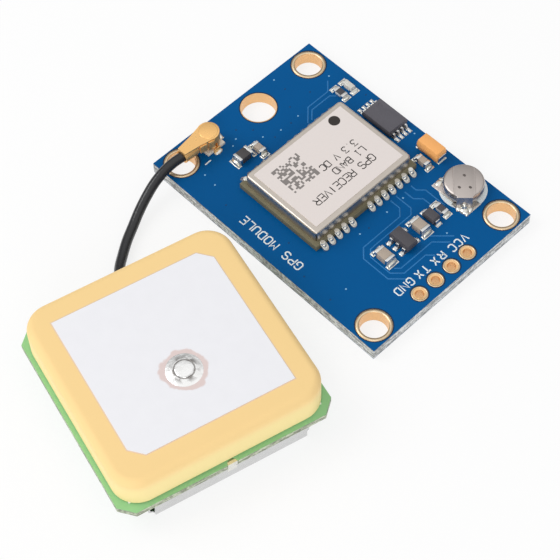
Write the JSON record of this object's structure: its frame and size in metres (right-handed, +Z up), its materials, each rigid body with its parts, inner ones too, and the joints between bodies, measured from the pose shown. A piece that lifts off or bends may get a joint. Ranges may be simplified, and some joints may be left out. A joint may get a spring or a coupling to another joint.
{
  "type": "gps module",
  "caption": "Small blue GPS receiver board with a shielded receiver, backup cell and header holes, joined by a short coaxial cable to a square ceramic patch antenna.",
  "frame": {"origin": "centre of the four mounting holes, on the board's underside", "axes": "+X along the board's long side towards the header holes, +Y along its short side away from the antenna, +Z up out of the component side"},
  "size_m": [0.0375, 0.0571, 0.0081],
  "materials": {
    "board_mask": "blue solder mask over glass fibre laminate",
    "gold_plating": "immersion gold",
    "receiver_laminate": "bare laminate edge",
    "solder": "bright solder",
    "cover_metal": "satin nickel silver",
    "label": "matt printed film",
    "mould_compound": "matt moulded epoxy",
    "tinned_leads": "tinned",
    "tantalum_resin": "moulded resin",
    "capacitor_ceramic": "fired ceramic",
    "alumina": "fired ceramic",
    "lens_resin": "clear resin",
    "ferrite": "pressed ferrite",
    "battery_steel": "satin stainless steel",
    "gasket": "moulded seal",
    "connector_plastic": "moulded",
    "coax_gold": "gold plated",
    "cable_jacket": "smooth black jacket",
    "copper": "bare copper",
    "patch_ceramic": "fired dielectric ceramic",
    "silver_paste": "fired matt silver",
    "adhesive": "double sided film",
    "antenna_mask": "green solder mask",
    "tinplate": "tin plated sheet"
  },
  "bodies": {
    "root": {"main_board": "board_mask", "mounting_eyelets": "gold_plating", "lead_hole_eyelet": "gold_plating", "header_eyelets": "gold_plating", "receiver_substrate": "receiver_laminate", "receiver_contacts": "solder", "receiver_cover": "cover_metal", "receiver_label": "label", "receiver_chip": "mould_compound", "receiver_oscillator": "cover_metal", "receiver_filter": "coax_gold", "receiver_passives": "capacitor_ceramic", "memory_body": "mould_compound", "memory_leads": "tinned_leads", "regulator_body": "mould_compound", "regulator_leads": "tinned_leads", "diode_body": "mould_compound", "diode_leads": "tinned_leads", "tantalum_body": "tantalum_resin", "tantalum_terminals": "tinned_leads", "capacitor_bodies": "capacitor_ceramic", "capacitor_ends": "tinned_leads", "resistor_bodies": "alumina", "resistor_coatings": "mould_compound", "resistor_ends": "tinned_leads", "light_base": "alumina", "light_lens": "lens_resin", "light_ends": "tinned_leads", "inductor_body": "ferrite", "inductor_ends": "tinned_leads", "solder_fillets": "solder", "battery_can": "battery_steel", "battery_gasket": "gasket", "battery_cap": "battery_steel", "battery_upper_tab": "battery_steel", "battery_lower_tab": "battery_steel", "coax_jack_base": "connector_plastic", "coax_jack_collar": "coax_gold", "coax_jack_pin": "coax_gold", "coax_plug_shell": "coax_gold", "coax_plug_insulator": "connector_plastic", "coax_plug_contact": "coax_gold", "antenna_cable": "cable_jacket", "cable_core": "copper", "cable_solder": "solder", "ceramic_patch": "patch_ceramic", "patch_electrode": "silver_paste", "ground_electrode": "silver_paste", "adhesive_pad": "adhesive", "feed_pin": "solder", "feed_solder": "solder", "antenna_board": "antenna_mask", "antenna_shield": "tinplate", "shield_solder": "solder", "antenna_amplifier": "mould_compound", "antenna_filter": "coax_gold", "antenna_passives": "capacitor_ceramic"}
  },
  "joints": []
}
